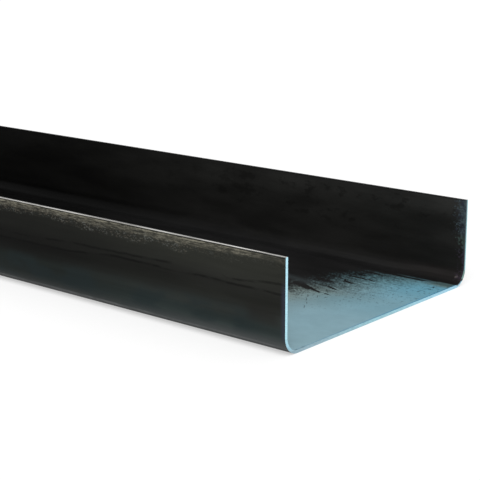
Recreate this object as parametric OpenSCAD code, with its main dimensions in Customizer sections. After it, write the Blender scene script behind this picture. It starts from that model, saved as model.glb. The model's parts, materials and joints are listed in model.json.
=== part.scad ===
// Cold-formed plain channel, one length of stock bent from a single strip of hot-rolled steel.
// The web lies flat on the floor and the two flanges stand up from it.
// X runs along the length, Y across the web and Z up.
// The origin is the middle of the web's underside.

/* [Section] */
// Width of the web, measured over the backs of the flanges
web_w = 200; // [80:1:400]
// Height of each flange, measured from the underside of the web
flange_h = 60; // [30:1:120]
// Thickness of the strip
strip_t = 2; // [1.2:0.1:4]
// Inside radius of the two bends
bend_r = 10; // [2:0.5:15]
// Rounding that the slitter leaves on the corners of the flange tips
slit_r = 0.4; // [0.1:0.05:0.5]

/* [Length] */
// Length that the stock is cut to
stock_l = 2000; // [300:10:6000]

/* [Hidden] */
$fn = 96;

// The outside of each bend is concentric with its inside, one strip thickness out
outer_bend_r = bend_r + strip_t;
// Clear width between the flanges
inside_w = web_w - 2 * strip_t;
// How far the cutting shapes run past the faces that they cut
overcut = 1;

// A box outline standing on Y = 0, with its two lower corners rounded to radius r
module trough_outline(w, h, r) {
    translate([-w / 2, r]) square([w, h - r]);
    translate([-w / 2 + r, 0]) square([w - 2 * r, 2 * r]);
    for (side = [-1, 1])
        translate([side * (w / 2 - r), r]) circle(r = r);
}

// What is left outside a quarter round of radius r, for taking a corner off at the origin.
// The corner points towards +X and +Y.
module corner_waste(r) {
    difference() {
        translate([-r, -r]) square(r + overcut);
        translate([-r, -r]) circle(r = r);
    }
}

// Both corners of one flange tip, for a flange whose strip runs from X = 0 to X = strip_t
module tip_waste() {
    translate([strip_t, flange_h]) corner_waste(slit_r);
    translate([0, flange_h]) mirror([1, 0]) corner_waste(slit_r);
}

// The bent strip in section, at an even thickness round both bends
module channel_section() {
    difference() {
        trough_outline(web_w, flange_h, outer_bend_r);
        translate([0, strip_t]) trough_outline(inside_w, flange_h, bend_r);
        for (side = [0, 1])
            mirror([side, 0]) translate([inside_w / 2, 0]) tip_waste();
    }
}

// The whole length, with both ends cut square
module channel() {
    color("dimgray")
        rotate([90, 0, 90])
            linear_extrude(height = stock_l, center = true)
                channel_section();
}

channel();
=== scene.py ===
# A length of plain steel channel, bent cold from one strip of hot-rolled sheet. It lies on its web with
# both flanges up. +X runs towards the cut end that shows, +Y across the web and +Z up, in metres.
import json
import math

import bpy
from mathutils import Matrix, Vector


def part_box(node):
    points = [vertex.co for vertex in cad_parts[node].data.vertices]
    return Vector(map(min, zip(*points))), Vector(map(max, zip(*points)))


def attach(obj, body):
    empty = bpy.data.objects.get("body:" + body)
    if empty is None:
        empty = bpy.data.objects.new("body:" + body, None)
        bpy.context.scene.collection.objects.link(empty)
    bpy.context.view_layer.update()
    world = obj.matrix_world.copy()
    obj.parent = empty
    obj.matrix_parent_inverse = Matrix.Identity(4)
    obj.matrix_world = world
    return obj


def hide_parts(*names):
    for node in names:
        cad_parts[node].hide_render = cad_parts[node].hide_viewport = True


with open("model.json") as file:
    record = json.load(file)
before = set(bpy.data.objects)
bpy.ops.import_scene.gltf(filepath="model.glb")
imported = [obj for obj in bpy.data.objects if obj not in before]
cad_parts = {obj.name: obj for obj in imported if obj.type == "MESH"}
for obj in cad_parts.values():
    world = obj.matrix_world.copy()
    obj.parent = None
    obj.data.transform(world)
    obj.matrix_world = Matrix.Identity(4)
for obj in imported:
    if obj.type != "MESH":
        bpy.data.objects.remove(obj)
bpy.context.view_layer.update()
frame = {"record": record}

# The channel is one strip of hot-rolled steel, slit to width and bent along two lines, so it is the only
# piece. It is made here as it is made in the shop: a flat strip with rounded slit edges, rolled round both
# bends, a little wavy along the flange tips as bent sheet is, and sawn off square.
low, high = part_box("channel")
stock_length = high.x - low.x
web_width = high.y - low.y
flange_height = high.z - low.z
mounts = {mount["name"]: mount for mount in frame["record"]["mounts"]}
sheet_thickness = mounts["web_inside"]["pos_m"][2]
bend_radius = 0.010

strip = bpy.data.node_groups.new("strip bent into a channel", "GeometryNodeTree")
strip.interface.new_socket("Channel", in_out="OUTPUT", socket_type="NodeSocketGeometry")
strip_sizes = {
    "Stock length": stock_length,
    "Web width": web_width,
    "Flange height": flange_height,
    "Sheet thickness": sheet_thickness,
    "Inside bend radius": bend_radius,
    "Outer slit rounding": 0.0004,
    "Inner slit rounding": 0.0002,
    "Sawn arris": 0.00012,
    "Tip waviness": 0.0006,
    "Web crown": 0.00025,
    "Seed": 4.0,
}
for name in strip_sizes:
    strip.interface.new_socket(name, in_out="INPUT", socket_type="NodeSocketFloat")
given = strip.nodes.new("NodeGroupInput").outputs


def reckon(operation, *values):
    """One Math node of the strip's tree. A value is a number or another node's output."""
    node = strip.nodes.new("ShaderNodeMath")
    node.operation = operation
    for socket, value in zip(node.inputs, values):
        if isinstance(value, bpy.types.NodeSocket):
            strip.links.new(value, socket)
        else:
            socket.default_value = value
    return node.outputs[0]


def climb(value, start, end, rise, crowded=False):
    """Climbs from 0 to rise while value goes from start to end. A crowded climb is slow at both ends."""
    node = strip.nodes.new("ShaderNodeMapRange")
    node.interpolation_type = "SMOOTHERSTEP" if crowded else "LINEAR"
    for socket, number in zip(node.inputs, (value, start, end, 0.0, rise)):
        if isinstance(number, bpy.types.NodeSocket):
            strip.links.new(number, socket)
        else:
            socket.default_value = number
    return node.outputs[0]


# The flat strip. Its rows of points crowd towards the bends and tips, where the surface turns.
rows_on_flange, rows_in_bend, rows_on_web = 7, 12, 12
rows_across = 2 * rows_on_flange + 2 * rows_in_bend + rows_on_web
rows_through = 8
stations = 400
blank = strip.nodes.new("GeometryNodeMeshCube")
blank.inputs["Vertices X"].default_value = stations + 1
blank.inputs["Vertices Y"].default_value = rows_across + 1
blank.inputs["Vertices Z"].default_value = rows_through + 1
flat_side = strip.nodes.new("GeometryNodeCaptureAttribute")
flat_side.domain = "FACE"
flat_side.capture_items.new("VECTOR", "Flat side")
strip.links.new(blank.outputs["Mesh"], flat_side.inputs[0])
strip.links.new(strip.nodes.new("GeometryNodeInputNormal").outputs[0], flat_side.inputs[1])
flat_place = strip.nodes.new("ShaderNodeSeparateXYZ")
strip.links.new(strip.nodes.new("GeometryNodeInputPosition").outputs[0], flat_place.inputs[0])
row = reckon("MULTIPLY", reckon("ADD", flat_place.outputs["Y"], 0.5), rows_across)

middle_radius = reckon("MULTIPLY_ADD", given["Sheet thickness"], 0.5, given["Inside bend radius"])
bend_run = reckon("MULTIPLY", middle_radius, math.pi / 2)
half_sheet = reckon("MULTIPLY", given["Sheet thickness"], 0.5)
outer_radius = reckon("ADD", given["Inside bend radius"], given["Sheet thickness"])
flange_run = reckon("SUBTRACT", given["Flange height"], outer_radius)
web_run = reckon("MULTIPLY_ADD", outer_radius, -2.0, given["Web width"])
near_web = rows_on_flange + rows_in_bend
far_web = near_web + rows_on_web
down = climb(row, 0, rows_on_flange, flange_run, crowded=True)
first_turn = climb(row, rows_on_flange, near_web, math.pi / 2)
along_web = climb(row, near_web, far_web, web_run, crowded=True)
second_turn = climb(row, far_web, far_web + rows_in_bend, math.pi / 2)
up = climb(row, far_web + rows_in_bend, rows_across, flange_run, crowded=True)
turn = reckon("ADD", first_turn, second_turn)

# How far each point lies from the middle of the sheet, from minus half its thickness on the outside to plus
# half on the inside, and how far the slitter's rounding draws it back from the tip.
quarter_turns = reckon("MULTIPLY", flat_place.outputs["Z"], math.pi)
depth = reckon("MULTIPLY", reckon("SINE", quarter_turns), half_sheet)
on_inside = reckon("GREATER_THAN", depth, 0.0)
rounding = reckon(
    "ADD",
    reckon("MULTIPLY", on_inside, given["Inner slit rounding"]),
    reckon("MULTIPLY", reckon("SUBTRACT", 1.0, on_inside), given["Outer slit rounding"]),
)
into_corner = reckon("SUBTRACT", reckon("ABSOLUTE", depth), reckon("SUBTRACT", half_sheet, rounding))
into_corner = reckon("MAXIMUM", into_corner, 0.0)
reach = reckon("SUBTRACT", reckon("POWER", rounding, 2.0), reckon("POWER", into_corner, 2.0))
drawn_back = reckon("SUBTRACT", rounding, reckon("SQRT", reckon("MAXIMUM", reach, 0.0)))
half_row = 0.5
at_near_tip = reckon("LESS_THAN", row, half_row)
at_far_tip = reckon("GREATER_THAN", row, rows_across - half_row)
near_drop = reckon("MULTIPLY", at_near_tip, drawn_back)
far_drop = reckon("MULTIPLY", at_far_tip, drawn_back)

# Along the length, the outermost ring of each sawn face steps back, which breaks its sharp arris.
outermost = 0.499
at_skin = reckon("GREATER_THAN", reckon("ABSOLUTE", flat_place.outputs["Z"]), outermost)
at_end = reckon("GREATER_THAN", reckon("ABSOLUTE", flat_place.outputs["X"]), outermost)
arris = reckon("MULTIPLY", reckon("MULTIPLY", at_skin, at_end), given["Sawn arris"])
along = reckon("MULTIPLY", flat_place.outputs["X"], given["Stock length"])
along = reckon("MULTIPLY_ADD", reckon("SIGN", along), reckon("MULTIPLY", arris, -1.0), along)

# The middle of the sheet at each row, and then the point itself, out along the sheet's own normal.
middle_y = reckon("MULTIPLY_ADD", given["Web width"], -0.5, half_sheet)
inward = reckon("SUBTRACT", 1.0, reckon("COSINE", first_turn))
middle_y = reckon("MULTIPLY_ADD", inward, middle_radius, middle_y)
middle_y = reckon("ADD", middle_y, along_web)
middle_y = reckon("MULTIPLY_ADD", reckon("SINE", second_turn), middle_radius, middle_y)
middle_z = reckon("SUBTRACT", reckon("SUBTRACT", given["Flange height"], down), near_drop)
middle_z = reckon("SUBTRACT", middle_z, reckon("MULTIPLY", reckon("SINE", first_turn), middle_radius))
upward = reckon("SUBTRACT", 1.0, reckon("COSINE", second_turn))
middle_z = reckon("MULTIPLY_ADD", upward, middle_radius, middle_z)
middle_z = reckon("SUBTRACT", reckon("ADD", middle_z, up), far_drop)
bent_y = reckon("MULTIPLY_ADD", reckon("COSINE", turn), depth, middle_y)
bent_z = reckon("MULTIPLY_ADD", reckon("SINE", turn), depth, middle_z)


def wander(shift, cycles_per_metre):
    """Slow random change along the stock, from 0 to 1, different for each shift."""
    noise = strip.nodes.new("ShaderNodeTexNoise")
    noise.noise_dimensions = "1D"
    noise.inputs["Scale"].default_value = cycles_per_metre
    noise.inputs["Detail"].default_value = 1.0
    strip.links.new(reckon("ADD", reckon("ADD", along, given["Seed"]), shift), noise.inputs["W"])
    return climb(noise.outputs[0], 0.25, 0.75, 1.0)


# Bent sheet is never quite straight: each tip leans in by a hair, and the web crowns up off the floor. Both
# come and go slowly along the stock.
tip_waves, crown_waves = 2.5, 3.5
near_tip_shift, far_tip_shift, web_shift = 0.0, 7.0, 13.0
up_flange = reckon("POWER", climb(bent_z, outer_radius, given["Flange height"], 1.0), 2.0)
lean = reckon("MULTIPLY", up_flange, given["Tip waviness"])
near_lean = reckon("MULTIPLY", lean, wander(near_tip_shift, tip_waves))
near_lean = reckon("MULTIPLY", near_lean, reckon("LESS_THAN", bent_y, 0.0))
far_lean = reckon("MULTIPLY", lean, wander(far_tip_shift, tip_waves))
far_lean = reckon("MULTIPLY", far_lean, reckon("GREATER_THAN", bent_y, 0.0))
bent_y = reckon("SUBTRACT", reckon("ADD", bent_y, near_lean), far_lean)
over_web = reckon("MULTIPLY", climb(along_web, 0.0, web_run, 1.0), math.pi)
crown = reckon("MULTIPLY", reckon("SINE", over_web), given["Web crown"])
bent_z = reckon("MULTIPLY_ADD", crown, wander(web_shift, crown_waves), bent_z)

# A flat pattern of the strip, for whoever bakes its finish into one picture. The outside lies at the
# bottom, the inside above it, the tips between them and the sawn ends on top, in shares of the picture.
# More of its width goes to the stock by the end that shows.
margin, sheet_room = 0.004, 0.992
inside_start, face_room = 0.510, 0.464
near_tip_start, tips_apart, tip_room = 0.476, 0.018, 0.008
hidden_end_start, ends_apart, end_room = 0.005, 0.500, 0.485
ends_row, ends_height = 0.982, 0.010
crowding = 8.0
side_of = strip.nodes.new("ShaderNodeSeparateXYZ")
strip.links.new(flat_side.outputs[1], side_of.inputs[0])


def faces(way):
    """Whether each face of the flat strip looks this way, where the way is one part of its normal."""
    return reckon("GREATER_THAN", way, 0.5)


def laid(share, start, room, where):
    """Lays a share from 0 to 1 out on the pattern from a start over some room, on the faces it is for."""
    return reckon("MULTIPLY", reckon("MULTIPLY_ADD", share, room, start), where)


is_inside = faces(side_of.outputs["Z"])
is_outside = faces(reckon("MULTIPLY", side_of.outputs["Z"], -1.0))
is_tip = faces(reckon("ABSOLUTE", side_of.outputs["Y"]))
is_end = faces(reckon("ABSOLUTE", side_of.outputs["X"]))
is_far = faces(side_of.outputs["Y"])
is_shown = faces(side_of.outputs["X"])
on_sheet = reckon("SUBTRACT", 1.0, is_end)
run = reckon("MULTIPLY_ADD", turn, middle_radius, down)
run = reckon("ADD", run, reckon("ADD", along_web, up))
whole_run = reckon("MULTIPLY_ADD", reckon("ADD", flange_run, bend_run), 2.0, web_run)
across_share = reckon("DIVIDE", run, whole_run)
from_far_tip = reckon("SUBTRACT", 1.0, across_share)
along_share = reckon("ADD", flat_place.outputs["X"], 0.5)
along_share = reckon("MULTIPLY", reckon("ADD", along_share, reckon("POWER", along_share, crowding)), 0.5)
through_share = reckon("ADD", flat_place.outputs["Z"], 0.5)
tip_share = reckon("ABSOLUTE", reckon("SUBTRACT", is_far, through_share))
tip_start = reckon("MULTIPLY_ADD", is_far, tips_apart, near_tip_start)
end_share = reckon("ABSOLUTE", reckon("SUBTRACT", from_far_tip, is_shown))
end_start = reckon("MULTIPLY_ADD", is_shown, ends_apart, hidden_end_start)
pattern_x = laid(along_share, margin, sheet_room, on_sheet)
pattern_x = reckon("ADD", pattern_x, laid(end_share, end_start, end_room, is_end))
pattern_y = laid(from_far_tip, margin, face_room, is_outside)
pattern_y = reckon("ADD", pattern_y, laid(across_share, inside_start, face_room, is_inside))
pattern_y = reckon("ADD", pattern_y, laid(tip_share, tip_start, tip_room, is_tip))
pattern_y = reckon("ADD", pattern_y, laid(through_share, ends_row, ends_height, is_end))
pattern_place = strip.nodes.new("ShaderNodeCombineXYZ")
strip.links.new(pattern_x, pattern_place.inputs["X"])
strip.links.new(pattern_y, pattern_place.inputs["Y"])
pattern = strip.nodes.new("GeometryNodeStoreNamedAttribute")
pattern.data_type = "FLOAT2"
pattern.domain = "CORNER"
pattern.inputs["Name"].default_value = "OFBake"
strip.links.new(flat_side.outputs[0], pattern.inputs["Geometry"])
strip.links.new(pattern_place.outputs[0], pattern.inputs["Value"])

# The bend itself, and then a finish for each kind of face. The whole channel gets the outside's mill scale
# first, and the inside, the slit tips and the sawn ends get their own over it.
bent_place = strip.nodes.new("ShaderNodeCombineXYZ")
for socket, value in zip(bent_place.inputs, (along, bent_y, bent_z)):
    strip.links.new(value, socket)
bending = strip.nodes.new("GeometryNodeSetPosition")
strip.links.new(pattern.outputs[0], bending.inputs["Geometry"])
strip.links.new(bent_place.outputs[0], bending.inputs["Position"])
realized = strip.nodes.new("GeometryNodeRealizeInstances")
strip.links.new(bending.outputs[0], realized.inputs[0])

outside_skin = bpy.data.materials.new("mill scale on the outside")
inside_skin = bpy.data.materials.new("mill scale on the inside")
slit_steel = bpy.data.materials.new("slit edge of the flange tips")
sawn_steel = bpy.data.materials.new("sawn end")
first_coat = strip.nodes.new("GeometryNodeSetMaterial")
first_coat.inputs["Material"].default_value = outside_skin
strip.links.new(realized.outputs[0], first_coat.inputs["Geometry"])
finishes = (
    (inside_skin, is_inside),
    (slit_steel, is_tip),
    (sawn_steel, is_end),
)
finished = first_coat.outputs[0]
for finish, where in finishes:
    coat = strip.nodes.new("GeometryNodeSetMaterial")
    coat.inputs["Material"].default_value = finish
    strip.links.new(finished, coat.inputs["Geometry"])
    strip.links.new(where, coat.inputs["Selection"])
    finished = coat.outputs[0]
strip.links.new(finished, strip.nodes.new("NodeGroupOutput").inputs[0])

maker = bpy.data.objects.new("channel_maker", bpy.data.meshes.new("blank"))
bpy.context.scene.collection.objects.link(maker)
bending_step = maker.modifiers.new("bend the strip", "NODES")
bending_step.node_group = strip
for socket in strip.interface.items_tree:
    if socket.in_out == "INPUT":
        bending_step[socket.identifier] = strip_sizes[socket.name]
maker_seen = maker.evaluated_get(bpy.context.evaluated_depsgraph_get())
channel_mesh = bpy.data.meshes.new_from_object(maker_seen)
bpy.data.objects.remove(maker)
channel_mesh.name = "steel_channel"
blank_slot = 0
sharp_from = 25
channel_mesh.materials.pop(index=blank_slot)
channel_mesh.shade_smooth()
channel_mesh.set_sharp_from_angle(angle=math.radians(sharp_from))
channel = bpy.data.objects.new("steel_channel", channel_mesh)
bpy.context.scene.collection.objects.link(channel)


class Finish:
    """A finish under way: one node tree, its shader, and short ways to add the nodes of its pattern."""

    def __init__(self, owner):
        owner.use_nodes = True
        self.nodes = owner.node_tree.nodes
        self.links = owner.node_tree.links
        self.shader = self.nodes.get("Principled BSDF") or self.nodes["Background"]
        self.places = self.nodes.new("ShaderNodeTexCoord").outputs["Object"]
        parts = self.nodes.new("ShaderNodeSeparateXYZ")
        self.links.new(self.places, parts.inputs[0])
        self.x, self.y, self.z = parts.outputs

    def feed(self, socket, value):
        """Sets a socket to a number or a colour, or links a node's output to it."""
        if isinstance(value, bpy.types.NodeSocket):
            self.links.new(value, socket)
        elif hasattr(value, "__len__") and socket.type == "RGBA":
            socket.default_value = (*value, 1)
        else:
            socket.default_value = value

    def sum_of(self, operation, *values):
        """One Math node of the finish. A value is a number or another node's output."""
        node = self.nodes.new("ShaderNodeMath")
        node.operation = operation
        for socket, value in zip(node.inputs, values):
            self.feed(socket, value)
        return node.outputs[0]

    def plus(self, first, *others):
        for other in others:
            first = self.sum_of("ADD", first, other)
        return first

    def minus(self, first, second):
        return self.sum_of("SUBTRACT", first, second)

    def times(self, first, *others):
        for other in others:
            first = self.sum_of("MULTIPLY", first, other)
        return first

    def size_of(self, value):
        return self.sum_of("ABSOLUTE", value)

    def fade(self, value, start, end, low=0.0, high=1.0):
        """Goes smoothly from low to high while value goes from start to end, and is level beyond them."""
        node = self.nodes.new("ShaderNodeMapRange")
        node.interpolation_type = "SMOOTHSTEP"
        for socket, number in zip(node.inputs, (value, start, end, low, high)):
            self.feed(socket, number)
        return node.outputs[0]

    def band(self, value, start, full, waning, end):
        """1 while value lies between full and waning, and smoothly less on both sides, down to 0."""
        return self.times(self.fade(value, start, full), self.fade(value, end, waning))

    def about(self, value, middle, edge, full):
        """1 while value is nearer to a middle than full, and smoothly less out to 0 at the edge."""
        return self.fade(self.size_of(self.minus(value, middle)), edge, full)

    def sway(self, shading, whole):
        """Random shading from 0 to 1 as a sway to both sides of nothing, so much as a whole."""
        return self.times(self.minus(shading, 0.5), whole)

    def noise(self, per_metre, detail=3.0, rough=0.5, shift=0.0, turned=0.0):
        """Random shading with so many changes to the metre along, across and up, turned by some degrees."""
        spread = self.nodes.new("ShaderNodeMapping")
        self.links.new(self.places, spread.inputs["Vector"])
        spread.inputs["Scale"].default_value = per_metre
        if turned:
            spread.vector_type = "TEXTURE"
            spread.inputs["Scale"].default_value = [1 / number for number in per_metre]
            spread.inputs["Rotation"].default_value = (0, 0, math.radians(turned))
        spread.inputs["Location"].default_value = (shift, 2.7 * shift, 1.3 * shift)
        node = self.nodes.new("ShaderNodeTexNoise")
        self.links.new(spread.outputs[0], node.inputs["Vector"])
        node.inputs["Scale"].default_value = 1.0
        node.inputs["Detail"].default_value = detail
        node.inputs["Roughness"].default_value = rough
        return node.outputs[0]

    def shades(self, value, *stops):
        """Colours that follow a value from one stop to the next. Each stop is a value and its colour."""
        first, last = stops[0][0], stops[-1][0]
        share = self.sum_of("DIVIDE", self.minus(value, first), last - first)
        node = self.nodes.new("ShaderNodeValToRGB")
        self.links.new(share, node.inputs[0])
        node.color_ramp.interpolation = "EASE"
        marks = node.color_ramp.elements
        while len(marks) < len(stops):
            marks.new(1.0)
        for mark, (place, colour) in zip(marks, stops):
            mark.position = (place - first) / (last - first)
            mark.color = (*colour, 1)
        return node.outputs[0]

    def blend(self, amount, under, over, how="MIX"):
        """Lays one colour over another by an amount from 0 to 1."""
        node = self.nodes.new("ShaderNodeMix")
        node.data_type = "RGBA"
        node.blend_type = how
        self.feed(node.inputs["Factor"], amount)
        self.feed(node.inputs[6], under)
        self.feed(node.inputs[7], over)
        return node.outputs[2]

    def dim(self, colour, share):
        """The colour at a share of its strength, where the share is a number from 0 up that may vary."""
        level = self.nodes.new("ShaderNodeCombineColor")
        for part in level.inputs[:3]:
            self.feed(part, share)
        return self.blend(1.0, colour, level.outputs[0], "MULTIPLY")

    def streak(self, across, start, end, start_half, end_half, soft=0.0004):
        """A mark drawn straight from start to end, each an x and a place across, tapering on its way."""
        run_x, run_across = end[0] - start[0], end[1] - start[1]
        off_x, off_across = self.minus(self.x, start[0]), self.minus(across, start[1])
        gone = self.plus(self.times(off_x, run_x), self.times(off_across, run_across))
        gone = self.sum_of("DIVIDE", gone, run_x**2 + run_across**2)
        gone = self.sum_of("MINIMUM", self.sum_of("MAXIMUM", gone, 0.0), 1.0)
        off_x = self.minus(off_x, self.times(gone, run_x))
        off_across = self.minus(off_across, self.times(gone, run_across))
        off = self.sum_of("SQRT", self.plus(self.times(off_x, off_x), self.times(off_across, off_across)))
        half = self.plus(start_half, self.times(gone, end_half - start_half))
        return self.fade(self.minus(half, off), -soft, soft)

    def bump(self, height, metres):
        """Makes a height from 0 to 1 stand up by so many metres."""
        node = self.nodes.new("ShaderNodeBump")
        node.inputs["Distance"].default_value = metres
        self.links.new(height, node.inputs["Height"])
        self.links.new(node.outputs[0], self.shader.inputs["Normal"])


# Outside, the hot mill leaves a thin dark scale with an oily sheen, drawn out lengthwise by the rolls. It
# is darkest halfway up the flanges, has a painted bluish reflection low down, and is a little paler by the
# end that shows.
painted_blue_reflection = (0.0120, 0.0205, 0.0230)
thumbed_scale = (0.0125, 0.0105, 0.0090)
shown_end = stock_length / 2
scale = Finish(outside_skin)
from_end = scale.minus(shown_end, scale.x)
slow = scale.noise((7, 0, 0), detail=2, shift=5)
up_side = scale.plus(scale.z, scale.sway(slow, 0.006))
colour = scale.shades(
    up_side,
    (0.000, (0.0200, 0.0220, 0.0210)),
    (0.008, (0.0150, 0.0190, 0.0180)),
    (0.013, (0.0120, 0.0160, 0.0152)),
    (0.020, (0.0086, 0.0118, 0.0106)),
    (0.026, (0.0050, 0.0056, 0.0048)),
    (0.031, (0.0036, 0.0038, 0.0032)),
    (0.037, (0.0056, 0.0058, 0.0049)),
    (0.045, (0.0080, 0.0083, 0.0070)),
    (0.060, (0.0105, 0.0108, 0.0090)),
)
pale_colour = scale.shades(
    up_side,
    (0.000, (0.064, 0.082, 0.080)),
    (0.010, (0.056, 0.075, 0.073)),
    (0.015, (0.037, 0.051, 0.050)),
    (0.020, (0.057, 0.065, 0.061)),
    (0.030, (0.035, 0.037, 0.032)),
    (0.037, (0.036, 0.037, 0.033)),
    (0.050, (0.043, 0.045, 0.037)),
)
colour = scale.blend(scale.fade(from_end, 0.24, 0.02, 0.0, 0.41), colour, pale_colour)
clouds = scale.noise((7, 60, 60), detail=4, rough=0.55)
drawn = scale.noise((8, 420, 420), detail=3, shift=3)
cloudy = scale.plus(scale.fade(clouds, 0.3, 0.7, 0.76, 1.14), scale.fade(drawn, 0.3, 0.7, 0.0, 0.10))
colour = scale.dim(colour, cloudy)
# A painted bluish reflection, blotchy, low on the flanges and fading out close to the cut.
low_on_side = scale.band(up_side, 0.003, 0.008, 0.019, 0.027)
blue_reflection_share = scale.times(low_on_side, scale.fade(scale.noise((34, 80, 80), detail=3, shift=9), 0.40, 0.60))
blue_reflection_share = scale.times(blue_reflection_share, scale.fade(from_end, 0.010, 0.035))
colour = scale.blend(scale.times(blue_reflection_share, 0.45), colour, painted_blue_reflection)

# Two faint lines wander along the middle of each flange, where the folding tool bore on the sheet. Each is
# a broken dark stroke with the scale a shade darker under it, and a thumb has left its mark by the end.
upper_height, lower_height = 0.0367, 0.0320
line_drift = scale.noise((34, 0, 0), detail=4, rough=0.6, shift=11)
upper_line = scale.plus(
    upper_height,
    scale.times(line_drift, 0.0030),
    scale.fade(scale.x, 0.790, 0.835, 0.0, 0.0026),
    scale.fade(scale.x, 0.880, 0.930, 0.0, 0.0018),
    scale.fade(scale.x, 0.950, 0.956, 0.0, -0.0022),
    scale.fade(scale.x, 0.956, 0.994, 0.0, 0.0030),
)
line_drift = scale.noise((40, 0, 0), detail=4, rough=0.6, shift=14)
lower_line = scale.plus(
    lower_height,
    scale.times(line_drift, 0.0028),
    scale.fade(scale.x, 0.800, 0.870, 0.0, 0.0044),
)
gap = scale.about(scale.x, 0.932, 0.026, 0.018)
for line, darkens, reach, missing, shift in (
    (upper_line, 0.10, 0.0130, gap, 21),
    (lower_line, 0.26, 0.0100, 0.0, 25),
):
    below_line = scale.minus(line, scale.z)
    shaded = scale.band(below_line, -0.0004, 0.0010, 0.0020, reach)
    broken = scale.noise((46, 0, 240), detail=3, rough=0.6, shift=shift)
    broken = scale.fade(broken, 0.37, 0.53, 0.15, 1.0)
    stroke = scale.about(below_line, 0.0004, 0.0011, 0.0003)
    stroke = scale.times(stroke, broken, scale.minus(1.0, missing))
    shaded = scale.times(shaded, scale.fade(scale.x, 0.890, 0.950, darkens, 0.5 * darkens))
    darker = scale.plus(shaded, scale.times(stroke, 0.5))
    colour = scale.dim(colour, scale.minus(1.0, darker))
thumb_mark = scale.streak(scale.z, (0.977, 0.0235), (0.990, 0.0220), 0.005, 0.004, soft=0.005)
colour = scale.blend(scale.times(thumb_mark, 0.5), colour, thumbed_scale)

# The foot of the bend is paler, partly rubbed where the stock has been dragged and partly a painted
# reflection of the floor, above a dark line of painted shade along the floor.
rubbed_and_reflecting_steel = (0.105, 0.110, 0.112)
foot_wear_and_sheen = scale.noise((60, 0, 200), detail=4, rough=0.6, shift=31)
foot = scale.band(scale.z, 0.0034, 0.0042, 0.0050, 0.0062)
foot = scale.times(foot, scale.fade(foot_wear_and_sheen, 0.36, 0.60, 0.45, 1.0))
above_foot = scale.band(scale.z, 0.0030, 0.0044, 0.0050, 0.0125)
above_foot = scale.times(above_foot, scale.fade(from_end, 0.16, 0.03, 0.12, 0.52))
rubbed_and_reflection = scale.sum_of("MAXIMUM", foot, above_foot)
rubbed_and_reflection = scale.times(rubbed_and_reflection, scale.fade(scale.x, 0.70, 0.90, 0.45, 1.0))
colour = scale.blend(rubbed_and_reflection, colour, rubbed_and_reflecting_steel)
# Painted shade: a dark line along the floor at the very foot of the bend.
colour = scale.dim(colour, scale.fade(scale.z, 0.0026, 0.0038, 0.35, 1.0))

# A painted violet sheen on the scale, one or two millimetres wide, follows the cut.
violet_sheen = (0.036, 0.040, 0.062)
cut_sheen = scale.times(scale.fade(from_end, 0.0045, 0.0010), scale.band(scale.z, 0.006, 0.014, 0.036, 0.050))
colour = scale.blend(scale.times(cut_sheen, 0.7), colour, violet_sheen)

# Under the tips a band of the scale is scuffed down to brown-grey steel, where the strip ran through the
# roll guides. It is streaked along the length close under the tip, and thins out downwards into grains.
scuffed_steel = (0.215, 0.203, 0.158)
warm_grains, pale_grains = (0.190, 0.170, 0.135), (0.235, 0.245, 0.225)
below_tip = scale.minus(flange_height, scale.z)
wide = scale.fade(scale.noise((14, 0, 0), detail=3, shift=2), 0.3, 0.7, 0.85, 1.2)
wide = scale.times(wide, scale.fade(from_end, 0.06, 0.005, 1.0, 0.8))
down_band = scale.sum_of("DIVIDE", below_tip, wide)
scratches = scale.noise((150, 0, 1100), detail=4, rough=0.7, shift=4)
golden = scale.plus(
    scale.fade(down_band, 0.0024, 0.0013, 0.0, 0.46),
    scale.fade(down_band, 0.0060, 0.0040, 0.0, 0.24),
)
golden = scale.times(golden, scale.fade(scratches, 0.38, 0.62, 0.2, 1.8))
golden = scale.times(golden, scale.fade(scale.x, 0.80, 0.86, 1.3, 1.0))
golden = scale.times(golden, scale.fade(from_end, 0.013, 0.030, 0.3, 1.0))
golden = scale.times(golden, scale.fade(scale.x, 0.88, 0.95, 1.0, 1.25))
grain = scale.noise((650, 0, 1200), detail=2, rough=0.6, shift=1)
golden = scale.times(golden, scale.fade(grain, 0.38, 0.62, 0.72, 1.25))
thinning = scale.sway(scale.noise((60, 0, 0), detail=3, shift=8), 0.010)
grain_row = scale.fade(scale.plus(down_band, thinning), 0.0106, 0.0078)
grain_row = scale.times(grain_row, scale.fade(down_band, 0.0026, 0.0052, 0.25, 1.0))
grain_row = scale.times(grain_row, scale.fade(from_end, 0.055, 0.085, 0.25, 1.0))
grainy = scale.times(grain_row, scale.fade(grain, 0.52, 0.64, 0.02, 0.30))
dark_under_tip = scale.fade(below_tip, 0.0014, 0.0007)
golden = scale.times(golden, scale.minus(1.0, dark_under_tip))
colour = scale.dim(colour, scale.minus(1.0, scale.times(dark_under_tip, 0.5)))
colour = scale.blend(scale.sum_of("MINIMUM", golden, 0.95), colour, scuffed_steel)
tint = scale.noise((240, 0, 400), detail=2, shift=6)
grain_colour = scale.blend(scale.fade(tint, 0.44, 0.56), warm_grains, pale_grains)
colour = scale.blend(grainy, colour, grain_colour)
scuffed = scale.sum_of("MAXIMUM", golden, grainy)
scale.feed(scale.shader.inputs["Base Color"], colour)
sheen = scale.fade(clouds, 0.3, 0.7, 0.28, 0.42)
scale.feed(scale.shader.inputs["Roughness"], scale.plus(sheen, scale.times(scuffed, 0.25)))
scale.shader.inputs["Specular IOR Level"].default_value = 0.035
relief = scale.plus(scale.times(drawn, 0.25), scale.times(scuffed, -0.6), scale.times(grain, 0.15))
scale.bump(relief, 0.00008)

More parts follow.
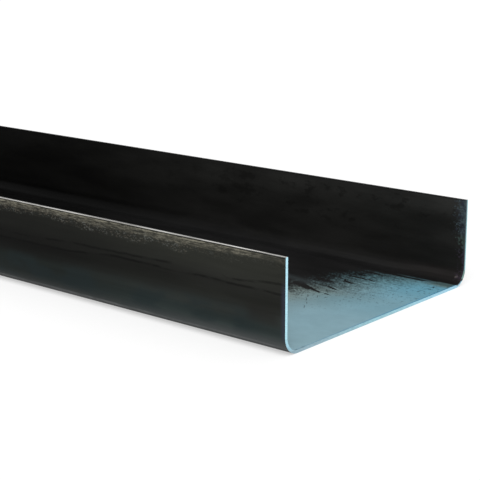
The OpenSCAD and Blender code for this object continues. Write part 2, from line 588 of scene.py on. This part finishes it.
# Inside, the same scale is nearly black and deepest away from the cut. The walls have darker spots high up,
# plainest by the cut, and a browned strip at their foot.
web_black = (0.0102, 0.0101, 0.0102)
browned_scale = (0.0138, 0.0122, 0.0118)
trough = Finish(inside_skin)
from_end = trough.minus(shown_end, trough.x)
mottle = trough.noise((14, 60, 60), detail=5, rough=0.6)
up_wall = trough.shades(
    trough.z,
    (0.004, (0.0075, 0.0074, 0.0073)),
    (0.012, (0.0150, 0.0148, 0.0140)),
    (0.024, (0.0138, 0.0136, 0.0128)),
    (0.040, (0.0160, 0.0160, 0.0150)),
    (0.060, (0.0245, 0.0245, 0.0232)),
)
on_wall = trough.fade(trough.z, 0.0020, 0.0065)
colour = trough.blend(on_wall, web_black, up_wall)
colour = trough.dim(colour, trough.fade(from_end, 0.44, 0.16, 0.36, 1.06))
# Painted shade along the foot of each wall, where it meets the web, deepest away from the cut.
shaded_wall_foot = trough.band(trough.z, 0.0015, 0.0040, 0.0080, 0.0150)
shaded_wall_foot = trough.times(shaded_wall_foot, trough.fade(from_end, 0.20, 0.40, 0.15, 0.70))
colour = trough.dim(colour, trough.minus(1.0, shaded_wall_foot))
colour = trough.dim(colour, trough.fade(mottle, 0.3, 0.7, 0.72, 1.28))
spots = trough.fade(trough.noise((70, 130, 130), detail=4, rough=0.65, shift=7), 0.56, 0.66)
spots = trough.times(spots, trough.fade(trough.z, 0.022, 0.034))
spots = trough.times(spots, trough.fade(from_end, 0.14, 0.30, 0.32, 0.12))
colour = trough.dim(colour, trough.minus(1.0, spots))
browned = trough.band(trough.z, 0.0022, 0.0040, 0.0090, 0.0125)
browned = trough.times(browned, trough.fade(from_end, 0.07, 0.01))
colour = trough.blend(trough.times(browned, 0.7), colour, browned_scale)

# A painted highlight runs along each bend as a paler crest, and the wall darkens in a hair line under its
# tip.
bend_highlight_height = trough.minus(trough.z, trough.fade(trough.x, 0.945, 0.975, 0.0, 0.0015))
bend_highlight = trough.band(bend_highlight_height, 0.0034, 0.0044, 0.0062, 0.0080)
bend_highlight = trough.times(bend_highlight, trough.fade(trough.x, 0.80, 0.92, 0.15, 0.60))
bend_highlight = trough.times(bend_highlight, trough.fade(trough.x, 0.978, 0.990, 1.0, 0.6))
colour = trough.dim(colour, trough.plus(1.0, bend_highlight))
below_tip = trough.minus(flange_height, trough.z)
colour = trough.dim(colour, trough.fade(below_tip, 0.0010, 0.0005, 1.0, 0.35))

# Beside the saw the walls show a narrow cold band of painted bluish sheen, speckled and widest near the
# tips.
sheen_violet, sheen_blue = (0.030, 0.036, 0.052), (0.066, 0.092, 0.104)
sheen_green = (0.044, 0.066, 0.050)
sheen_foot_violet = (0.036, 0.028, 0.040)
bright_steel = (0.110, 0.170, 0.190)
speckle = trough.noise((500, 600, 600), detail=3, rough=0.65, shift=12)
band_reach = trough.fade(trough.z, 0.014, 0.048, 0.0030, 0.0085)
sheen_beside_saw = trough.plus(from_end, trough.sway(speckle, 0.036))
sheen_beside_saw = trough.times(trough.fade(sheen_beside_saw, band_reach, 0.0005), on_wall)
patchy = trough.noise((300, 420, 320), detail=4, rough=0.6, shift=22)
cold_sheen = trough.blend(trough.fade(patchy, 0.42, 0.58), sheen_violet, sheen_blue)
greenish = trough.band(trough.z, 0.023, 0.028, 0.032, 0.038)
cold_sheen = trough.blend(trough.times(greenish, 0.7), cold_sheen, sheen_green)
cold_sheen = trough.blend(trough.fade(trough.z, 0.030, 0.020), cold_sheen, sheen_foot_violet)
colour = trough.blend(trough.times(sheen_beside_saw, 0.85), colour, cold_sheen)
bright_specks = trough.times(trough.fade(speckle, 0.60, 0.68), trough.fade(from_end, 0.012, 0.006))
bright_specks = trough.times(bright_specks, trough.fade(trough.z, 0.030, 0.040))
colour = trough.blend(trough.times(bright_specks, 0.6), colour, bright_steel)

# By the end that shows, the scale is torn off the web down to blue-grey steel. The edge of the tear is a
# wide worn band, mottled and drawn out lengthwise. The last thick scale is left on it in dark tongues, with
# loose crumbs of it, a few nicks, and one scratch with a hook that shows dark on the steel.
tear = trough.noise((34, 150, 150), detail=7, rough=0.68, shift=2)
fleck = trough.noise((800, 330, 800), detail=3, rough=0.65, shift=8, turned=38)
smears = trough.noise((120, 360, 360), detail=4, rough=0.65, shift=19, turned=-10)
middle_of_tear = trough.plus(
    0.0500,
    trough.fade(trough.y, 0.042, 0.000, 0.0, 0.030),
    trough.fade(trough.y, 0.054, 0.080, 0.0, -0.015),
    trough.fade(trough.y, 0.000, -0.030, 0.0, 0.020),
    trough.fade(trough.y, -0.050, -0.088, 0.0, -0.030),
)
past_tear = trough.minus(middle_of_tear, from_end)
ragged = trough.plus(
    past_tear,
    trough.sway(tear, 0.030),
    trough.sway(smears, 0.050),
    trough.sway(fleck, 0.062),
)
half_spread = trough.fade(trough.y, 0.004, 0.032, 0.016, 0.036)
kept = trough.fade(ragged, trough.times(half_spread, -1.0), half_spread, 1.0, 0.0)
warped_y = trough.plus(trough.y, trough.sway(smears, 0.004))
tongues = (
    ((0.9305, 0.0622), (0.9400, 0.0620), 0.0019, 0.0016),
    ((0.9400, 0.0625), (0.9460, 0.0602), 0.0012, 0.0007),
    ((0.9465, 0.0618), (0.9520, 0.0606), 0.0012, 0.0006),
    ((0.9330, 0.0525), (0.9360, 0.0485), 0.0007, 0.0012),
    ((0.9360, 0.0480), (0.9430, 0.0460), 0.0018, 0.0008),
    ((0.9190, 0.0415), (0.9310, 0.0410), 0.0023, 0.0016),
    ((0.9240, 0.0305), (0.9335, 0.0300), 0.0010, 0.0008),
    ((0.9360, 0.0295), (0.9433, 0.0274), 0.0016, 0.0009),
    ((0.9130, 0.0250), (0.9270, 0.0180), 0.0042, 0.0030),
    ((0.9270, 0.0195), (0.9383, 0.0150), 0.0022, 0.0011),
    ((0.9440, 0.0146), (0.9468, 0.0142), 0.0010, 0.0008),
    ((0.9250, 0.0785), (0.9470, 0.0776), 0.0016, 0.0012),
    ((0.9480, 0.0790), (0.9515, 0.0785), 0.0011, 0.0007),
)
for root, tip, root_half, tip_half in tongues:
    tongue = trough.streak(warped_y, root, tip, root_half, tip_half)
    kept = trough.sum_of("MAXIMUM", kept, tongue)
nick_half = 0.0002
nicks = (
    ((0.9360, 0.0057), (0.9392, 0.0015)),
    ((0.9425, 0.0083), (0.9450, 0.0040)),
    ((0.9408, -0.0018), (0.9437, -0.0060)),
    ((0.9460, -0.0086), (0.9482, -0.0112)),
    ((0.9496, -0.0155), (0.9525, -0.0200)),
)
marks = 0.0
for root, tip in nicks:
    nick = trough.streak(trough.y, root, tip, nick_half, nick_half, soft=0.0003)
    marks = trough.sum_of("MAXIMUM", marks, nick)
hook = (
    ((0.9883, 0.0585), (0.9885, 0.0625), 0.00050, 0.00020),
    ((0.9885, 0.0625), (0.9903, 0.0735), 0.00010, 0.00030),
    ((0.9903, 0.0755), (0.9915, 0.0730), 0.00070, 0.00060),
    ((0.9907, 0.0750), (0.9945, 0.0786), 0.00040, 0.00010),
)
for root, tip, root_half, tip_half in hook:
    stroke = trough.streak(trough.y, root, tip, root_half, tip_half)
    marks = trough.sum_of("MAXIMUM", marks, stroke)
burr = trough.times(trough.fade(from_end, 0.0018, 0.0008), trough.fade(trough.y, -0.078, -0.084))
marks = trough.sum_of("MAXIMUM", marks, trough.times(burr, trough.fade(fleck, 0.44, 0.52), 0.6))
kept = trough.sum_of("MAXIMUM", kept, trough.times(marks, 0.8))
crumb = trough.noise((420, 330, 420), detail=3, rough=0.6, shift=27, turned=20)
crumbs = trough.times(trough.fade(crumb, 0.59, 0.66), trough.fade(past_tear, 0.072, 0.030))
crumbs = trough.times(crumbs, trough.fade(trough.y, -0.020, 0.015, 0.25, 0.62))
kept = trough.sum_of("MAXIMUM", kept, crumbs)

# The bared steel is bluest by the far flange, and warmer and duller towards the tear.
worn_tint = (1.22, 1.00, 0.88)
dull_tint = (0.81, 0.71, 0.65)
far_tint = (0.86, 0.62, 0.56)
steel = trough.shades(
    trough.y,
    (-0.090, (0.245, 0.390, 0.445)),
    (-0.030, (0.215, 0.350, 0.405)),
    (0.020, (0.180, 0.330, 0.395)),
    (0.085, (0.128, 0.335, 0.440)),
)
steel = trough.blend(trough.fade(past_tear, 0.034, -0.010), steel, worn_tint, "MULTIPLY")
dulled = trough.times(trough.fade(past_tear, 0.068, 0.006), trough.fade(trough.y, 0.036, 0.018))
steel = trough.blend(dulled, steel, dull_tint, "MULTIPLY")
steel = trough.blend(trough.fade(trough.y, 0.066, 0.086, 0.0, 0.45), steel, far_tint, "MULTIPLY")
worn = trough.noise((70, 90, 90), detail=5, rough=0.6, shift=18)
steel = trough.dim(steel, trough.fade(worn, 0.3, 0.7, 0.95, 1.04))

# Towards the far bend the steel stops at a dark line with a thin paler one beyond it. By the saw the line
# fades out, and the steel runs on as a grey strip to the foot of the bend.
grey_strip = (0.112, 0.172, 0.166)
cut_blue = (0.055, 0.225, 0.370)
steel_stops = 0.0826
runs_on = trough.fade(trough.x, 0.974, 0.988)
by_saw = trough.times(runs_on, trough.fade(trough.y, 0.0765, 0.0815))
steel = trough.blend(trough.times(by_saw, 0.85), steel, grey_strip)
past_line = trough.times(by_saw, trough.fade(trough.y, 0.0812, 0.0828))
steel = trough.dim(steel, trough.minus(1.0, trough.times(past_line, 0.45)))
along_cut = trough.fade(from_end, 0.0017, 0.0007)
along_cut = trough.times(along_cut, trough.fade(trough.y, -0.080, 0.040, 0.25, 0.75))
steel = trough.blend(along_cut, steel, cut_blue)
steel_edge = trough.plus(steel_stops, trough.times(runs_on, 0.0060))
flat_web = trough.fade(trough.minus(trough.y, steel_edge), 0.0006, -0.0008)
beyond_line = trough.about(trough.y, 0.0867, 0.0016, 0.0006)
beyond_line = trough.times(beyond_line, trough.fade(trough.x, 0.948, 0.968, 0.0, 0.38))
beyond_line = trough.times(beyond_line, trough.fade(smears, 0.40, 0.55, 0.5, 1.1))
flat_web = trough.sum_of("MAXIMUM", flat_web, beyond_line)
up_near_bend = trough.fade(trough.z, 0.0095, 0.0045)
bared = trough.times(trough.minus(1.0, kept), flat_web, up_near_bend)
colour = trough.blend(bared, colour, steel)

# The last thick scale has a thin pale veil over it, and the foot of the far wall has one pale spot.
veil_grey = (0.040, 0.050, 0.053)
spot_grey = (0.120, 0.102, 0.102)
veil = trough.streak(trough.y, (0.895, 0.0340), (0.917, 0.0300), 0.0030, 0.0030, soft=0.0045)
colour = trough.blend(trough.times(veil, trough.minus(1.0, bared), 0.55), colour, veil_grey)
spot = trough.streak(trough.z, (0.9950, 0.0056), (0.9962, 0.0060), 0.0006, 0.0004)
spot = trough.times(spot, trough.fade(trough.y, 0.080, 0.088))
colour = trough.blend(trough.times(spot, 0.6), colour, spot_grey)
trough.feed(trough.shader.inputs["Base Color"], colour)
trough.feed(trough.shader.inputs["Roughness"], trough.fade(bared, 0.0, 1.0, 0.34, 0.48))
trough.shader.inputs["Specular IOR Level"].default_value = 0.03
trough.bump(trough.minus(trough.times(mottle, 0.4), bared), 0.0001)

# The slitter's blades part the strip half by cutting and half by tearing, so each tip has a bright line on
# its outer half and a dull one on its inner half. The bright line is partly a painted highlight, brightest
# by the end that shows. The far tip has darkened since.
dull_steel, dull_streak = (0.05, 0.05, 0.048), (0.12, 0.12, 0.115)
bright_cut, brightest_cut = (0.30, 0.29, 0.27), (0.62, 0.61, 0.58)
darkened = (0.004, 0.004, 0.004)
slit = Finish(slit_steel)
into_tip = slit.minus(web_width / 2, slit.size_of(slit.y))
rolled_over = slit.fade(into_tip, sheet_thickness * 0.08, sheet_thickness * 0.20)
cut_half = slit.times(rolled_over, slit.fade(into_tip, sheet_thickness * 0.75, sheet_thickness * 0.45))
streaks = slit.noise((60, 900, 900), detail=4, rough=0.6)
slow = slit.noise((18, 0, 0), detail=3, shift=3)
burnish_and_highlight = slit.blend(slit.fade(slow, 0.35, 0.65), bright_cut, brightest_cut)
dull = slit.blend(slit.fade(streaks, 0.35, 0.7), dull_steel, dull_streak)
grey = slit.blend(cut_half, dull, burnish_and_highlight)
grey = slit.dim(grey, slit.fade(streaks, 0.3, 0.6, 0.7, 1.05))
# Painted highlight: the tips brighten towards the end that shows.
grey = slit.dim(grey, slit.fade(slit.x, 0.945, 0.975, 1.0, 1.5))
colour = slit.blend(slit.fade(slit.y, -0.05, 0.05), grey, darkened)
slit.feed(slit.shader.inputs["Base Color"], colour)
slit.shader.inputs["Roughness"].default_value = 0.4
slit.shader.inputs["Specular IOR Level"].default_value = 0.15

# The saw leaves the ends pale. At the end that shows they carry a cold blue cast, a painted reflection of
# blue sky, and there the far flange's cut is dark again, but for a painted highlight in a thin line along
# its outer arris.
far_dark, far_arris_highlight = (0.060, 0.094, 0.108), (0.36, 0.66, 0.72)
greened_bend = (0.150, 0.265, 0.235)
burr_and_shade_black = (0.012, 0.020, 0.022)
plain_sawn = (0.34, 0.345, 0.35)
sawn = Finish(sawn_steel)
kerf = sawn.noise((0, 260, 900), detail=3, rough=0.6)
low_reflection_cast = sawn.shades(
    sawn.y,
    (-0.090, (0.290, 0.425, 0.490)),
    (0.000, (0.310, 0.560, 0.640)),
    (0.080, (0.365, 0.640, 0.780)),
)
high_reflection_cast = sawn.shades(
    sawn.z,
    (0.004, (0.330, 0.570, 0.690)),
    (0.014, (0.470, 0.800, 0.920)),
    (0.060, (0.500, 0.830, 0.950)),
)
sawn_and_reflection = sawn.blend(sawn.fade(sawn.z, 0.002, 0.005), low_reflection_cast, high_reflection_cast)
# The far flange's cut is dark, with a painted highlight along its outer arris.
far_wall = sawn.times(sawn.fade(sawn.y, 0.086, 0.0985), sawn.fade(sawn.z, 0.004, 0.011))
outer_arris = sawn.fade(sawn.y, 0.0986, 0.0993)
far_dark_and_highlight = sawn.blend(outer_arris, far_dark, far_arris_highlight)
sawn_and_reflection = sawn.blend(far_wall, sawn_and_reflection, far_dark_and_highlight)

# Round the far bend the outer half of the sheet has greened, and its foot is dark, partly a burr and partly
# painted shade.
outer_bend_radius = bend_radius + sheet_thickness
off_y = sawn.minus(sawn.y, web_width / 2 - outer_bend_radius)
off_z = sawn.minus(sawn.z, outer_bend_radius)
from_bend = sawn.sum_of("SQRT", sawn.plus(sawn.times(off_y, off_y), sawn.times(off_z, off_z)))
bend_foot = sawn.times(sawn.fade(off_z, -0.0064, -0.0072), sawn.fade(off_y, 0.0005, 0.0020))
past_middle = bend_radius + 0.60 * sheet_thickness
well_inside = bend_radius + 0.25 * sheet_thickness
inner_half = sawn.fade(from_bend, past_middle, well_inside)
across_sheet = sawn.about(off_z, -0.0078, 0.0009, 0.0003)
burr_and_shade = sawn.times(bend_foot, sawn.sum_of("MAXIMUM", inner_half, across_sheet))
bend_side = sawn.band(off_z, -0.0082, -0.0070, -0.0035, -0.0005)
bend_side = sawn.times(bend_side, sawn.fade(off_y, 0.0, 0.001))
sawn_and_reflection = sawn.blend(bend_side, sawn_and_reflection, greened_bend)
sawn_and_reflection = sawn.blend(burr_and_shade, sawn_and_reflection, burr_and_shade_black)
sawn_and_reflection = sawn.blend(sawn.fade(sawn.x, 0.1, -0.1), sawn_and_reflection, plain_sawn)
sawn_and_reflection = sawn.dim(sawn_and_reflection, sawn.fade(kerf, 0.3, 0.7, 0.86, 1.06))
sawn.feed(sawn.shader.inputs["Base Color"], sawn_and_reflection)
sawn.shader.inputs["Roughness"].default_value = 0.5
sawn.shader.inputs["Specular IOR Level"].default_value = 0.25
sawn.bump(kerf, 0.00005)

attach(channel, "root")
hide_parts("channel")

# The studio is a wide pale floor that keeps the channel's soft shadow. It is white where nothing shades it.
# Its colour and the sky's are lifted to white only for what the camera, a gloss or a glass sees of them.
floor_mesh = bpy.data.meshes.new("studio_floor")
floor_reach = 30.0
floor_corners = [(x * floor_reach, y * floor_reach, 0.0) for x, y in ((-1, -1), (1, -1), (1, 1), (-1, 1))]
floor_mesh.from_pydata(floor_corners, [], [(0, 1, 2, 3)])
floor = bpy.data.objects.new("studio_floor", floor_mesh)
bpy.context.scene.collection.objects.link(floor)
floor_paper = bpy.data.materials.new("white paper")
floor_mesh.materials.append(floor_paper)


def by_ray(tree, in_light, when_seen):
    """One value for light that falls on things, and another for what a camera, a gloss or a glass sees."""
    rays = tree.nodes.new("ShaderNodeLightPath").outputs
    seen = tree.sum_of("MAXIMUM", rays["Is Camera Ray"], rays["Is Glossy Ray"])
    seen = tree.sum_of("MAXIMUM", seen, rays["Is Transmission Ray"])
    return tree.sum_of("MULTIPLY_ADD", seen, when_seen - in_light, in_light)


paper_in_light, paper_when_seen, paper_glow = 0.86, 0.50, 0.53
paper = Finish(floor_paper)
paper_grey = paper.nodes.new("ShaderNodeCombineColor")
for level in paper_grey.inputs[:3]:
    paper.feed(level, by_ray(paper, paper_in_light, paper_when_seen))
paper.feed(paper.shader.inputs["Base Color"], paper_grey.outputs[0])
paper.shader.inputs["Roughness"].default_value = 1.0
paper.shader.inputs["Specular IOR Level"].default_value = 0.0
paper.shader.inputs["Emission Color"].default_value = (1, 1, 1, 1)
paper.feed(paper.shader.inputs["Emission Strength"], by_ray(paper, 0.0, paper_glow))

world = bpy.data.worlds.new("studio")
bpy.context.scene.world = world
sky_in_light, sky_when_seen = 0.58, 1.0
sky = Finish(world)
sky.shader.inputs["Color"].default_value = (1, 1, 1, 1)
sky.feed(sky.shader.inputs["Strength"], by_ray(sky, sky_in_light, sky_when_seen))

# One very broad lamp, far off to the right and above, gives the soft shadow. Its breadth keeps hot streaks
# off the steel.
lamp = bpy.data.lights.new("key", "SUN")
lamp_breadth = 50
lamp.angle = math.radians(lamp_breadth)
lamp.energy = 1.9
key = bpy.data.objects.new("key", lamp)
lamp_from_upright, lamp_round = 38, 52
key.rotation_euler = (math.radians(lamp_from_upright), 0, math.radians(lamp_round))
bpy.context.scene.collection.objects.link(key)

# The camera stands where the photograph was taken, to the right of the cut end and a little above it. Its
# place, turn and lens come from the channel's edges as they run in the picture.
camera_data = bpy.data.cameras.new("camera")
camera = bpy.data.objects.new("camera", camera_data)
bpy.context.scene.collection.objects.link(camera)
bpy.context.scene.camera = camera
turned_left = 40.074
looks_down = 14.139
camera.location = (1.4468, -0.6715, 0.2529)
camera.rotation_euler = (math.radians(90 - looks_down), 0, math.radians(turned_left))
camera_data.sensor_width = 36.0
camera_data.lens = 99.42
camera_data.clip_start = 0.01
camera_data.clip_end = 200.0
bpy.context.scene.view_settings.view_transform = "Standard"
